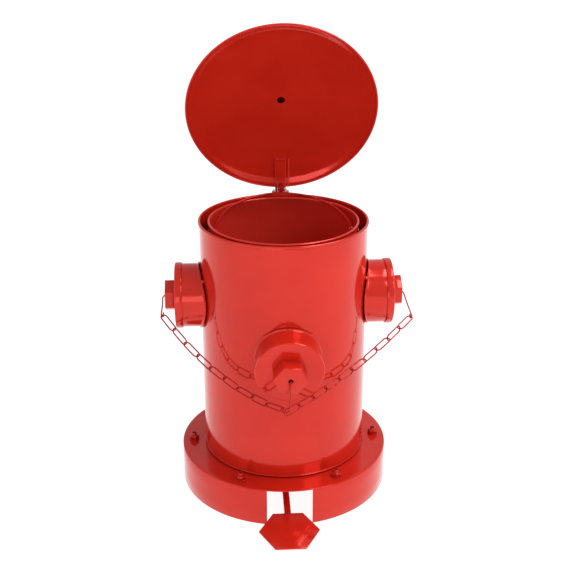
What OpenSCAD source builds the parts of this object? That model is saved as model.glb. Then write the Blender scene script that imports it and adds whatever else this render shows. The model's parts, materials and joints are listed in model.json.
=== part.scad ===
// Pedal bin for dog waste, shaped like a fire hydrant. Millimetres, +Z up.
// The origin is on the floor under the middle of the base. The pedal side faces -Y.
// It is drawn with the pedal down and the lid up.

/* [Base drum] */
// Radius of the base drum
base_r = 164; // [150:1:190]
// Height of the base drum
base_h = 60; // [54:1:80]
// Sheet of the base drum
base_t = 1.5; // [1:0.1:2.5]
// Width of the pedal notch
notch_w = 69; // [40:1:100]
// Number of flange bolts
bolt_count = 6; // [4:1:10]
// Radius of the bolt circle
bolt_ring_r = 146; // [142:1:150]

/* [Body shell] */
// Outer radius of the body shell
shell_r = 127; // [115:1:130]
// Height of the rim above the floor
rim_h = 435; // [380:1:520]
// Sheet of the shell, bucket and lid
sheet = 1.2; // [0.8:0.1:2]
// Thickness of the rolled rim bead
bead_d = 4; // [3:0.1:5]
// Thickness of the bottom hem
hem_d = 3.2; // [2:0.1:4]
// Gap between the hem and the base plate
hem_gap = 1.2; // [0.5:0.1:3]
// Height of the body floor above the base plate
floor_rise = 12; // [10:1:20]

/* [Bucket] */
// Outer radius of the bucket wall
bucket_r = 113.1; // [95:0.1:114]
// How far the bucket's rim lies below the shell's rim
bucket_drop = 1; // [0:0.5:10]
// Thickness of the bucket's rolled rim
bucket_bead_d = 4; // [3:0.1:5]
// Height of the bucket's floor above its foot
bucket_foot = 11; // [9:1:25]
// Wire of the bail handle
bail_d = 3.5; // [2.5:0.1:5]
// Depth of the bail's pivots below the bucket's rim
bail_drop = 19; // [14:1:30]
// Space between the bail and the bucket wall
bail_gap = 7.1; // [6.5:0.1:14]
// Rise of the bail when it is folded to the back, in degrees
bail_tilt = 16.5; // [12:0.5:18]

/* [Lid] */
// Radius of the lid
lid_r = 150; // [145:1:170]
// Depth of the lid's dome
dome_h = 28; // [18:1:40]
// Thickness of the lid's rolled edge
edge_d = 3; // [2:0.1:4]
// Radius of the hole in the middle of the lid
lid_hole_r = 6; // [3:0.5:9]
// How far the lid stands open, in degrees
lid_open = 68.6; // [50:0.1:75]
// Sideways place of the lid, its hinge and its push rod
lid_side = 4; // [0:0.5:6]
// Distance of the hinge pin behind the lid's edge
hinge_back = 7.5; // [7:0.5:10]
// Width of the lid strap
strap_w = 17.5; // [17:0.5:22]
// Thickness of the lid strap
strap_t = 3; // [2.5:0.1:4]
// Radius at which the lid strap starts
strap_in_r = 103; // [102:1:110]
// Radius of the hinge pin
hinge_pin_r = 2.5; // [2:0.1:3]
// Height of the knob on the lid
knob_h = 22; // [15:1:30]

/* [Outlets] */
// Height of the side outlets
side_z = 314; // [280:1:330]
// Height at which the front outlet's axis crosses the body's
front_z = 282; // [260:1:300]
// Droop of the front outlet, in degrees
front_droop = 10; // [0:1:12]
// Distance of the side caps' faces from the body's axis
side_reach = 166.5; // [155:0.5:185]
// Distance of the front cap's face from the body's axis
front_reach = 160; // [150:1:185]
// Outer radius of the outlet tubes
tube_r = 49; // [40:1:52]
// Sheet of the outlet tubes and caps
tube_t = 1.5; // [1:0.1:2.5]
// Depth of a cap's skirt
cap_skirt = 11; // [8:1:18]
// Gap between the shell and an outlet's lip
lip_gap = 2.5; // [1:0.1:4]
// Radius of the hexagonal nuts over their corners
nut_r = 25; // [18:1:30]
// Height of the side nuts
side_nut_h = 15.5; // [10:0.5:25]
// Height of the front nut
front_nut_h = 21; // [10:0.5:25]
// Turn of the front nut, in degrees
front_nut_turn = 7; // [0:1:15]

/* [Chain] */
// Wire of the chain and its hooks
wire_d = 2.2; // [1.8:0.1:2.6]
// Spacing of the chain's links
link_pitch = 28.3; // [24:0.1:35]
// Outer width of a link
link_w = 13.4; // [12:0.1:16]
// Least spare length of a chain, as a share of its span
chain_slack = 0.004; // [0.002:0.001:0.05]

/* [Pedal] */
// Radius of the hexagonal pedal over its corners
pedal_r = 45.5; // [35:0.5:52]
// Thickness of the pedal
pedal_t = 2.5; // [2:0.1:4]
// Distance of the pedal's middle from the body's axis
pedal_reach = 199; // [190:1:220]
// Sideways place of the pedal lever
pedal_side = -3; // [-6:0.5:0]
// Slope of the lever when the pedal is down, in degrees
lever_slope = 5.3; // [3:0.1:6]
// Distance of the lever's pivot in front of the body's axis
pivot_front = 40; // [30:1:60]
// Height of the lever's pivot
pivot_z = 23; // [20:0.5:26]
// Width of the lever
lever_w = 10; // [8:0.5:14]
// Depth of the lever's channel
lever_h = 8; // [7:0.5:10]
// Radius of the lever's pin
lever_pin_r = 3; // [2:0.1:3.5]
// Radius of the push rod
rod_r = 3; // [2.5:0.1:3]
// Reach of the crank that the rod lifts
crank_r = 22; // [20:0.5:23]

/* [Hidden] */
$fn = 96;
red = [0.80, 0.12, 0.09];
dark_red = [0.62, 0.08, 0.06];
// Overlap of a cutter past the face that it cuts
eps = 0.5;
// Clearance of a pin that turns or slides in its hole
fit = 0.06;
// Clearance of a bolt or screw in its hole
bolt_fit = 0.2;
// Gap between pieces that move past each other
gap = 0.6;
// Gap between pieces that rest on each other and can part
seat = 0.3;

// Heights of the base and the body floor
plate_z = base_h - base_t;
shell_z0 = base_h + hem_gap;
floor_z = base_h + floor_rise;
bead_z = rim_h - bead_d / 2;
inner_r = shell_r - sheet;
bead_r = shell_r + bead_d / 2;

// Flange bolts, M8
bolt_r = 4;
bolt_head_h = 5.3;
hex_r = 7.5;
nut_h = 6.5;
washer_r = 8;
washer_t = 1.6;
stud_end = 3.5;
// Floor screws, M6
screw_r = 3;
screw_head_r = 5.5;
screw_head_h = 3;
screw_nut_r = 5.8;
screw_nut_h = 5;
screw_end = 1.5;
spacer_r = 8;
screw_ring_r = bucket_r * 0.7;
screw_count = 4;

// Lid: the dome is part of a sphere, and its heights count from the plane of its edge
dome_rad = (lid_r * lid_r + dome_h * dome_h) / (2 * dome_h);
function dome_z(r) = sqrt(dome_rad * dome_rad - r * r) - (dome_rad - dome_h);
strap_out_r = lid_r - edge_d / 2;
strap_rise = (dome_z(strap_in_r) + edge_d / 2) / (strap_out_r - strap_in_r);
strap_a = atan(strap_rise);
function strap_top(r) = -edge_d / 2 + (strap_out_r - r) * strap_rise;
// Gap between the closed strap and the rim bead
strap_gap = 1.2;
lid_z = rim_h + strap_gap + strap_t / cos(strap_a) - strap_top(shell_r);
hinge_y = lid_r + hinge_back;
hinge_z = lid_z + strap_top(hinge_y) - strap_t / 2 / cos(strap_a);
knuckle_r = hinge_pin_r + 2.5;
// Extra angle by which the lid dips until its front nears the rim
lid_dip = 1.1;
lid_turn = lid_open + lid_dip;

// Crank and push rod
crank_a = lid_turn / 2;
crank_pin_r = 2.5;
ear_r = 4.5;
ear_t = 2;
crank_head = 1;
pin_near_y = hinge_y - crank_r;
pin_far_y = hinge_y - crank_r * cos(crank_a);
pin_up_z = hinge_z + crank_r * sin(crank_a);
rod_y = (pin_near_y + pin_far_y) / 2;
head_t = 5;
slot_play = 0.8;
head_wall = 2.2;
ear_x = head_t / 2 + gap;
bracket_in = strap_w / 2 + gap;
bracket_t = 2.5;

// Pedal lever
pivot_y = -pivot_front;
lever_t = 1.5;
rod_arm = rod_y - pivot_y;
foot_r = 5;
foot_h = 4;
// Cheeks of the lever's bracket
cheek_t = 2.5;
cheek_l = 18;
cheek_low = 8;
cheek_in = lever_w / 2 + gap;
// Thickness of a pin's head, and how far it stands out round the pin
pin_head = 1.8;
pad_t = 2;
pad_edge = 4;
pad_l = 2 * (foot_r + pad_edge);
lever_back = rod_arm + foot_r + pad_edge;
function lever_z(y) = pivot_z + (y - pivot_y) * tan(lever_slope);
foot_z = lever_z(rod_y + foot_r) + (lever_h / 2 + pad_t) / cos(lever_slope) + seat;

// Bucket and bail
bucket_z0 = floor_z + sheet + seat;
bucket_top = rim_h - bucket_drop;
bucket_in = bucket_r - sheet;
bail_z = bucket_top - bail_drop;
bail_r = bucket_in - bail_gap - bail_d / 2;
ear_pin_r = 2;
eye_r = 5;

// Outlets
cap_r = tube_r + tube_t + 0.5;
// Wall of the hollow nuts and the knob over their corners
nut_t = tube_t / cos(30);
weld_r = 2;
tube_in = tube_r - tube_t;
lip_r = tube_r + 2.5;
lip_t = 1.5;
hole_r = 3.5;

module ring(ro, ri, h) {
    difference() {
        cylinder(r = ro, h = h);
        translate([0, 0, -eps]) cylinder(r = ri, h = h + 2 * eps);
    }
}

module torus(big, small) {
    rotate_extrude() translate([big, 0]) circle(r = small, $fn = 48);
}

module rod_x(r, length, x = 0) {
    translate([x - length / 2, 0, 0]) rotate([0, 90, 0]) cylinder(r = r, h = length);
}

module around(count, r, start = 0) {
    for (i = [0 : count - 1])
        rotate([0, 0, start + i * 360 / count]) translate([0, -r, 0]) children();
}

// ---- Base drum ----
module base_skirt() {
    color(red) difference() {
        ring(base_r, base_r - base_t, plate_z);
        translate([-notch_w / 2, -base_r - eps, -eps])
            cube([notch_w, base_r / 2, plate_z + 2 * eps]);
    }
}

module base_plate() {
    edge = base_t * 0.6;
    color(red) difference() {
        rotate_extrude() {
            difference() {
                translate([0, plate_z]) square([base_r, base_t]);
                translate([base_r - edge, base_h - edge]) difference() {
                    square([edge + eps, edge + eps]);
                    circle(r = edge, $fn = 48);
                }
            }
        }
        translate([0, 0, plate_z - eps]) {
            around(bolt_count, bolt_ring_r, 180 / bolt_count)
                cylinder(r = bolt_r + bolt_fit, h = base_t + 2 * eps);
            around(screw_count, screw_ring_r, 180 / screw_count)
                cylinder(r = screw_r + bolt_fit, h = base_t + 2 * eps);
            translate([lid_side, rod_y, 0])
                cylinder(r = rod_r + gap, h = base_t + 2 * eps);
        }
    }
}

module base_bolts() {
    color(dark_red) around(bolt_count, bolt_ring_r, 180 / bolt_count) {
        translate([0, 0, plate_z - bolt_head_h])
            cylinder(r = hex_r, h = bolt_head_h, $fn = 6);
        translate([0, 0, plate_z - 1])
            cylinder(r = bolt_r, h = 1 + base_t + washer_t + nut_h + stud_end);
    }
}

module base_washers() {
    color(red) around(bolt_count, bolt_ring_r, 180 / bolt_count)
        translate([0, 0, base_h]) ring(washer_r, bolt_r + bolt_fit, washer_t);
}

module base_nuts() {
    color(red) around(bolt_count, bolt_ring_r, 180 / bolt_count)
        translate([0, 0, base_h + washer_t]) difference() {
            cylinder(r = hex_r, h = nut_h, $fn = 6);
            translate([0, 0, -eps]) cylinder(r = bolt_r + fit, h = nut_h + 2 * eps);
        }
}

// ---- Body shell, bolted to the base through its floor ----
module floor_spacers() {
    color(dark_red) around(screw_count, screw_ring_r, 180 / screw_count)
        translate([0, 0, base_h]) ring(spacer_r, screw_r + bolt_fit, floor_rise);
}

module floor_screws() {
    color(dark_red) around(screw_count, screw_ring_r, 180 / screw_count) {
        translate([0, 0, plate_z - screw_head_h])
            cylinder(r = screw_head_r, h = screw_head_h);
        translate([0, 0, plate_z - 1])
            cylinder(r = screw_r, h = floor_z + sheet + screw_nut_h + screw_end - plate_z + 1);
    }
}

module floor_nuts() {
    color(dark_red) around(screw_count, screw_ring_r, 180 / screw_count)
        translate([0, 0, floor_z + sheet]) difference() {
            cylinder(r = screw_nut_r, h = screw_nut_h, $fn = 6);
            translate([0, 0, -eps]) cylinder(r = screw_r + fit, h = screw_nut_h + 2 * eps);
        }
}

module body_shell() {
    hem_z = shell_z0 + hem_d / 2;
    color(red) {
        translate([0, 0, hem_z]) ring(shell_r, inner_r, bead_z - hem_z);
        translate([0, 0, bead_z]) torus(shell_r, bead_d / 2);
        translate([0, 0, hem_z]) torus(shell_r - sheet / 2, hem_d / 2);
    }
}

module body_floor() {
    flange = 5;
    color(dark_red) difference() {
        translate([0, 0, floor_z - flange]) cylinder(r = inner_r, h = flange + sheet);
        translate([0, 0, floor_z - flange - eps]) cylinder(r = inner_r - sheet, h = flange + eps);
        translate([0, 0, floor_z - eps]) around(screw_count, screw_ring_r, 180 / screw_count)
            cylinder(r = screw_r + bolt_fit, h = sheet + 2 * eps);
    }
}

// ---- Outlets: a saddle-cut tube, a cap and a hollow nut, all round one axis ----
// The children's +Z points out along the outlet's axis
module at_outlet(turn, z, droop = 0) {
    translate([0, 0, z]) rotate([0, 0, turn]) rotate([90 + droop, 0, 0]) children();
}
module at_left() { at_outlet(-90, side_z) children(); }
module at_right() { at_outlet(90, side_z) children(); }
module at_front() { at_outlet(0, front_z, front_droop) children(); }

module saddle(r, h) {
    translate([0, 0, front_z - h / 2]) cylinder(r = r, h = h);
}

module outlet_body() {
    zone = 8 * tube_r;
    difference() {
        union() {
            difference() {
                children(0);
                saddle(shell_r + lip_gap, zone);
            }
            intersection() {
                children(1);
                difference() {
                    saddle(shell_r + lip_gap + lip_t, zone);
                    saddle(shell_r + lip_gap, zone + 2);
                }
            }
        }
        children(2);
    }
}

module tube_solid(reach) { cylinder(r = tube_r, h = reach - tube_t); }
module lip_solid(reach) { cylinder(r = lip_r, h = reach - tube_t - cap_skirt); }
module tube_core(reach) { cylinder(r = tube_in, h = reach + eps); }

module left_outlet() {
    color(red) outlet_body() {
        at_left() tube_solid(side_reach);
        at_left() lip_solid(side_reach);
        at_left() tube_core(side_reach);
    }
}

module right_outlet() {
    color(red) outlet_body() {
        at_right() tube_solid(side_reach);
        at_right() lip_solid(side_reach);
        at_right() tube_core(side_reach);
    }
}

module front_outlet() {
    color(red) outlet_body() {
        at_front() tube_solid(front_reach);
        at_front() lip_solid(front_reach);
        at_front() tube_core(front_reach);
    }
}

module cap(reach) {
    round_r = 2;
    rotate_extrude() difference() {
        translate([0, reach - cap_skirt]) square([cap_r, cap_skirt]);
        translate([-eps, reach - cap_skirt - eps])
            square([tube_r + fit + eps, cap_skirt - tube_t + eps]);
        translate([cap_r - round_r, reach - round_r]) difference() {
            square([round_r + eps, round_r + eps]);
            circle(r = round_r, $fn = 48);
        }
    }
}
module left_cap() { color(red) at_left() cap(side_reach); }
module right_cap() { color(red) at_right() cap(side_reach); }
module front_cap() { color(red) at_front() cap(front_reach); }

module hollow_nut(z, h, turn) {
    translate([0, 0, z]) difference() {
        rotate([0, 0, turn]) cylinder(r = nut_r, h = h, $fn = 6);
        translate([0, 0, -eps]) rotate([0, 0, turn])
            cylinder(r = nut_r - nut_t, h = h - tube_t + eps, $fn = 6);
        translate([0, 0, h - tube_t - eps]) cylinder(r = hole_r, h = tube_t + 2 * eps);
    }
}
module left_nut() { color(red) at_left() hollow_nut(side_reach, side_nut_h, 30); }
module right_nut() { color(red) at_right() hollow_nut(side_reach, side_nut_h, 30); }
module front_nut() { color(red) at_front() hollow_nut(front_reach, front_nut_h, -front_nut_turn); }

// Small plugs of weld that bridge the gap between the shell and each lip
module weld_plugs(reach) {
    for (a = [45 : 90 : 315])
        translate([(tube_in + lip_r) / 2 * cos(a), (tube_in + lip_r) / 2 * sin(a), 0])
            cylinder(r = weld_r, h = reach, $fn = 32);
}
module outlet_welds() {
    bite = 0.4;
    color(red) intersection() {
        union() {
            at_left() weld_plugs(side_reach);
            at_right() weld_plugs(side_reach);
            at_front() weld_plugs(front_reach);
        }
        difference() {
            saddle(shell_r + lip_gap + bite, 8 * tube_r);
            saddle(shell_r - bite, 9 * tube_r);
        }
    }
}

// ---- Hooks: wire from each nut's hole, bent down into an open U ----
// Distance between the middles of two wires that hook round each other
hooked = wire_d + seat;
side_u_r = hooked;
front_u_r = 5.8;
// Middles of the bends
left_u = [-side_reach - side_nut_h - 4.5, -26, side_z - 22];
right_u = [side_reach + side_nut_h + 17.5, -8, side_z - 42];
front_u = [-8, -(front_reach + front_nut_h) * cos(front_droop) - 7.5,
    front_z - (front_reach + front_nut_h) * sin(front_droop) - 40];

function unit(v) = v / norm(v);
function flat_unit(v) = unit([v[0], v[1], 0]);
// Level directions along each chain, and across it
left_run = flat_unit(front_u - left_u);
right_run = flat_unit(right_u - front_u);

// From the hole out and down to the bend, round it and up again on the given side
function hook_path(hole, out, c, bend_r, side) =
    let (top = c - bend_r * side)
    concat([hole - 6 * out, hole - 2 * out, hole + 1.5 * out,
            hole + 3.5 * out + 0.12 * (top - hole), hole * 0.5 + top * 0.5 + 1.5 * out],
           [for (a = [0 : 18 : 180]) c - bend_r * (cos(a) * side + sin(a) * [0, 0, 1])],
           [c + bend_r * side + [0, 0, 3], c + bend_r * side + [0, 0, 5]]);

// Frame carried along a path, so that the swept wire doesn't twist
function tangent(p, i) = unit(p[min(i + 1, len(p) - 1)] - p[max(i - 1, 0)]);
function carry(p, i, n) = i == len(p) ? [] :
    let (t = tangent(p, i), m = unit(n - (n * t) * t)) concat([m], carry(p, i + 1, m));

module wire(path, r) {
    sides = 10;
    start = abs(tangent(path, 0)[2]) < 0.9 ? [0, 0, 1] : [1, 0, 0];
    normals = carry(path, 0, start);
    rings = [for (i = [0 : len(path) - 1])
        let (n = normals[i], b = cross(tangent(path, i), n))
        for (k = [0 : sides - 1])
            path[i] + r * (cos(k * 360 / sides) * n + sin(k * 360 / sides) * b)];
    last = (len(path) - 1) * sides;
    polyhedron(rings, concat(
        [[for (k = [0 : sides - 1]) k]],
        [for (i = [0 : len(path) - 2]) for (k = [0 : sides - 1])
            let (a = i * sides, j = (k + 1) % sides) [a + k, a + sides + k, a + sides + j, a + j]],
        [[for (k = [sides - 1 : -1 : 0]) last + k]]));
}

module left_hook() {
    hole = [-side_reach - side_nut_h, 0, side_z];
    color(red) wire(hook_path(hole, [-1, 0, 0], left_u, side_u_r, left_run), wire_d / 2);
}
module right_hook() {
    hole = [side_reach + side_nut_h, 0, side_z];
    color(red) wire(hook_path(hole, [1, 0, 0], right_u, side_u_r, -right_run), wire_d / 2);
}
module front_hook() {
    out = [0, -cos(front_droop), -sin(front_droop)];
    hole = [0, 0, front_z] + (front_reach + front_nut_h) * out;
    color(red) wire(hook_path(hole, out, front_u, front_u_r, [-1, 0, 0]), wire_d / 2);
}

// ---- Chains: rigid links along a hanging curve ----
// A hanging chain's slope grows by an equal step from each link to the next
function link_dir(m, run) = unit([run[0], run[1], m]);
// A link reaches past its spacing at both ends, where it hooks round its neighbour
past = hooked / 2;
function link_length(i, n) = link_pitch + (i == 0 ? past : 0) + (i == n - 1 ? past : 0);
function chain_end(m0, dm, n, i = 0) = i == n ? [0, 0] :
    let (m = m0 + dm * i, k = link_length(i, n) / sqrt(1 + m * m))
    [k, m * k] + chain_end(m0, dm, n, i + 1);
// Newton steps for the first slope and its step, so that the chain ends where it should
function solve(goal, n, s, step = 0) = step == 14 ? s :
    let (d = 0.0001,
         e = chain_end(s[0], s[1], n) - goal,
         a = (chain_end(s[0] + d, s[1], n) - goal - e) / d,
         b = (chain_end(s[0], s[1] + d, n) - goal - e) / d,
         det = a[0] * b[1] - a[1] * b[0])
    solve(goal, n, s - [(b[1] * e[0] - b[0] * e[1]) / det,
                        (a[0] * e[1] - a[1] * e[0]) / det], step + 1);
function link_starts(p, s, n, run, i = 0) = i == n ? [] :
    concat([p], link_starts(p + link_pitch * link_dir(s[0] + s[1] * i, run), s, n, run, i + 1));

module chain_link() {
    end_r = (link_w - wire_d) / 2;
    half = link_pitch / 2 + past - end_r;
    for (s = [0, 180]) rotate([0, 0, s]) {
        translate([half, 0, 0]) rotate([0, 0, -90])
            rotate_extrude(angle = 180) translate([end_r, 0]) circle(r = wire_d / 2, $fn = 24);
        translate([-half, end_r, 0]) rotate([0, 90, 0])
            cylinder(r = wire_d / 2, h = 2 * half, $fn = 24);
    }
}

// Every other link stands upright. The last one always lies flat in its side hook or
// round the front hook's limb, so the count is odd if the first one lies flat too
module chain(a, b, first_flat) {
    run = flat_unit(b - a);
    need = (norm(b - a) * (1 + chain_slack) - 2 * past) / link_pitch;
    n = first_flat ? 2 * ceil((need - 1) / 2) + 1 : 2 * ceil(need / 2);
    level = norm([b[0] - a[0], b[1] - a[1]]);
    mean = (b[2] - a[2]) / level;
    s = solve([level, b[2] - a[2]], n, [mean - 0.3, 0.6 / n]);
    starts = link_starts(a + past * link_dir(s[0], run), s, n, run);
    for (i = [0 : n - 1]) {
        d = link_dir(s[0] + s[1] * i, run);
        upright = (i % 2 == 0) != first_flat;
        translate(starts[i] + link_pitch / 2 * d) rotate([0, -asin(d[2]), atan2(d[1], d[0])])
            rotate([upright ? 90 : 0, 0, 0]) chain_link();
    }
}

// Outermost wires of the chains' end links
rest_a = -74;
front_left = front_u - front_u_r * [1, 0, 0] + hooked * left_run;
front_right = front_u + front_u_r * [cos(rest_a), 0, sin(rest_a)]
    - hooked / right_run[1] * right_run;
module left_chain() { color(red) chain(left_u, front_left, true); }
module right_chain() { color(red) chain(front_right, right_u, false); }

// ---- Lid hinge on the back of the shell ----
module hinge_bracket() {
    top = hinge_z + knuckle_r;
    low = hinge_z - 40;
    inset = bead_r + gap - shell_r;
    color(red) difference() {
        for (s = [-1, 1])
            translate([lid_side + s * (bracket_in + bracket_t / 2) + bracket_t / 2, 0, 0])
                rotate([0, -90, 0]) linear_extrude(bracket_t) polygon([
                    [low, shell_r - 8], [low + 12, hinge_y - 2], [hinge_z - 4, hinge_y + knuckle_r],
                    [top, hinge_y + knuckle_r], [top, hinge_y - knuckle_r],
                    [bead_z - bead_d, shell_r + inset], [bead_z - bead_d, shell_r - 8]]);
        cylinder(r = shell_r, h = rim_h, $fn = 400);
        translate([0, hinge_y, hinge_z]) rod_x(hinge_pin_r + fit / 2, 2 * lid_r);
    }
}

module hinge_pin() {
    half = bracket_in + bracket_t;
    color(dark_red) translate([lid_side, hinge_y, hinge_z]) {
        rod_x(hinge_pin_r, 2 * half + pin_head);
        for (s = [-1, 1]) rod_x(hinge_pin_r + pin_head, pin_head, s * (half + pin_head / 2 + 0.1));
    }
}

// ---- Lid, drawn shut and turned up about the hinge pin ----
module opened() {
    translate([lid_side, hinge_y, hinge_z]) rotate([-lid_open, 0, 0])
        translate([0, -hinge_y, -hinge_z]) children();
}

module lid_dome() {
    color(red) opened() translate([0, 0, lid_z]) {
        rotate_extrude() intersection() {
            difference() {
                translate([0, dome_h - dome_rad]) circle(r = dome_rad + sheet, $fn = 360);
                translate([0, dome_h - dome_rad]) circle(r = dome_rad, $fn = 360);
            }
            translate([lid_hole_r, -sheet]) square([lid_r - edge_d / 2 - lid_hole_r, 2 * dome_h]);
        }
        translate([0, 0, dome_z(lid_r - edge_d / 2) - edge_d / 2 + sheet])
            torus(lid_r - edge_d / 2, edge_d / 2);
    }
}

module lid_knob() {
    seat_r = (nut_r - tube_t) * cos(30);
    base_z = lid_z + dome_z(seat_r) + sheet * dome_rad / (dome_rad - dome_h);
    color(red) opened() difference() {
        translate([0, 0, base_z]) cylinder(r = nut_r, h = knob_h, $fn = 6);
        translate([0, 0, base_z - eps])
            cylinder(r = nut_r - nut_t, h = knob_h - tube_t + eps, $fn = 6);
    }
}

module lid_strap() {
    back = hinge_y - hinge_pin_r;
    front = strap_in_r;
    length = (back - front) / cos(strap_a);
    lip = 2.5;
    color(red) opened() difference() {
        union() {
            translate([-strap_w / 2, front, lid_z + strap_top(front)]) rotate([-strap_a, 0, 0]) {
                translate([0, 0, -strap_t]) cube([strap_w, length, strap_t]);
                translate([0, 0, -strap_t - lip]) cube([strap_w, 2, lip + 0.5]);
            }
            translate([0, hinge_y, hinge_z]) rod_x(knuckle_r, strap_w);
        }
        translate([0, hinge_y, hinge_z]) rod_x(hinge_pin_r + fit, strap_w + 2 * eps);
    }
}

// Two ears under the strap, which carry the crank pin
module lid_crank() {
    py = hinge_y - crank_r * cos(crank_a);
    pz = hinge_z - crank_r * sin(crank_a);
    under = strap_t / cos(strap_a);
    root = [for (y = [py - ear_r, hinge_y - knuckle_r - 1.5])
        [y, lid_z + strap_top(y) - under]];
    color(red) opened() for (s = [-1, 1])
        translate([s * (ear_x + ear_t / 2) - ear_t / 2, 0, 0]) difference() {
            rotate([90, 0, 90]) linear_extrude(ear_t) union() {
                polygon([root[0], [py - ear_r, pz], [py + ear_r * sin(crank_a),
                    pz - ear_r * cos(crank_a)], root[1]]);
                translate([py, pz]) circle(r = ear_r, $fn = 48);
            }
            translate([0, py, pz]) rod_x(crank_pin_r, 4 * ear_t);
        }
}

module crank_pin() {
    py = hinge_y - crank_r * cos(crank_a);
    pz = hinge_z - crank_r * sin(crank_a);
    half = ear_x + ear_t;
    color(dark_red) opened() translate([0, py, pz]) {
        rod_x(crank_pin_r, 2 * half + crank_head);
        for (s = [-1, 1]) rod_x(crank_pin_r + crank_head, crank_head, s * (half + crank_head / 2));
    }
}

// ---- Push rod behind the shell, drawn raised ----
module push_rod() {
    slot_h = crank_pin_r + slot_play;
    y0 = pin_near_y - crank_pin_r - gap;
    y1 = pin_far_y + crank_pin_r + gap;
    head_h = slot_h + head_wall;
    color(red) difference() {
        union() {
            translate([lid_side - head_t / 2, y0 - head_wall, pin_up_z - head_h])
                cube([head_t, y1 - y0 + 2 * head_wall, 2 * head_h]);
            translate([lid_side, rod_y, foot_z + foot_h])
                cylinder(r = rod_r, h = pin_up_z - head_h - foot_z - foot_h + eps);
        }
        translate([lid_side - head_t, y0, pin_up_z - slot_h])
            cube([2 * head_t, y1 - y0, 2 * slot_h]);
    }
}

module rod_foot() {
    color(dark_red) translate([lid_side, rod_y, foot_z]) cylinder(r = foot_r, h = foot_h);
}

// Two guides on the shell, each a sleeve on a web
module rod_guides() {
    guide_h = 14;
    sleeve_r = rod_r + 2.5;
    color(red) for (z = [base_h + 45, (base_h + rim_h) / 2]) difference() {
        translate([lid_side, 0, z]) {
            translate([0, rod_y, 0]) cylinder(r = sleeve_r, h = guide_h);
            translate([-sleeve_r / 2, shell_r - 3, 0]) cube([sleeve_r, rod_y - shell_r + 3, guide_h]);
        }
        translate([0, 0, z - eps]) cylinder(r = shell_r, h = guide_h + 2 * eps, $fn = 400);
        translate([lid_side, rod_y, z - eps]) cylinder(r = rod_r + fit, h = guide_h + 2 * eps);
    }
}

// ---- Pedal lever, drawn pressed down ----
module at_pivot() {
    translate([pedal_side, pivot_y, pivot_z]) children();
}
module sloped() {
    at_pivot() rotate([lever_slope, 0, 0]) children();
}

module lever_bracket() {
    color(red) difference() {
        for (s = [-1, 1])
            translate([pedal_side + s * (cheek_in + cheek_t / 2) - cheek_t / 2,
                    pivot_y - cheek_l / 2, pivot_z - cheek_low])
                cube([cheek_t, cheek_l, plate_z - pivot_z + cheek_low]);
        at_pivot() rod_x(lever_pin_r + fit / 2, 4 * lever_w);
    }
}

module lever_pin() {
    half = cheek_in + cheek_t;
    color(dark_red) at_pivot() {
        rod_x(lever_pin_r, 2 * half + pin_head);
        for (s = [-1, 1]) rod_x(lever_pin_r + pin_head, pin_head, s * (half + pin_head / 2 + 0.1));
    }
}

module lever_arm() {
    front = pedal_reach + pivot_y + pedal_r * 0.5;
    color(red) sloped() difference() {
        translate([-lever_w / 2, -front, -lever_h / 2])
            cube([lever_w, front + lever_back, lever_h]);
        translate([-lever_w / 2 + lever_t, -front - eps, -lever_h / 2 - eps])
            cube([lever_w - 2 * lever_t, front + lever_back + 2 * eps, lever_h - lever_t + eps]);
        rod_x(lever_pin_r + fit, 2 * lever_w);
    }
}

// Plate on the lever's tail, under the rod's foot
module lever_pad() {
    x0 = -lever_w / 2;
    x1 = lid_side - pedal_side + foot_r + 2;
    color(red) sloped() translate([x0, lever_back - pad_l, lever_h / 2])
        cube([x1 - x0, pad_l, pad_t]);
}

module pedal_plate() {
    color(red) sloped()
        translate([0, -(pedal_reach + pivot_y), lever_h / 2])
            cylinder(r = pedal_r, h = pedal_t, $fn = 6);
}

// ---- Bucket ----
module bucket_wall() {
    top = bucket_top - bucket_bead_d / 2;
    color(red) difference() {
        union() {
            translate([0, 0, bucket_z0]) ring(bucket_r, bucket_in, top - bucket_z0);
            translate([0, 0, top]) torus(bucket_r - sheet / 2, bucket_bead_d / 2);
        }
        ear_holes();
    }
}

module bucket_floor() {
    color(dark_red) translate([0, 0, bucket_z0 + bucket_foot])
        cylinder(r = bucket_in, h = sheet);
}

rivet_r = 1.6;
rivet_head_r = 2.6;
rivet_head_t = 1;
rivet_at = 5.5;
ear_plate_r = 9;
ear_plate_t = 1.5;
// Thickness of the ear pin's head, and how far it stands out round the pin
ear_head = 1.5;
// The ear's plate is cut to the wall's curve at its back
module ear_holes() {
    for (s = [-1, 1]) translate([0, s * rivet_at, bail_z]) rod_x(rivet_r + fit / 2, 3 * bucket_r);
}

module bucket_ears() {
    face = sqrt(bucket_in * bucket_in - ear_plate_r * ear_plate_r) - ear_plate_t;
    tip = bail_r - eye_t / 2 - seat;
    color(dark_red) for (s = [0, 180]) rotate([0, 0, s]) difference() {
        intersection() {
            union() {
                translate([face, 0, bail_z]) rotate([0, 90, 0])
                    cylinder(r = ear_plate_r, h = bucket_r - face);
                translate([tip, 0, bail_z]) rotate([0, 90, 0])
                    cylinder(r = ear_pin_r, h = face - tip + eps);
                translate([tip - ear_head, 0, bail_z]) rotate([0, 90, 0])
                    cylinder(r = ear_pin_r + ear_head, h = ear_head);
            }
            cylinder(r = bucket_in, h = rim_h, $fn = 400);
        }
        ear_holes();
    }
}

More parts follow.
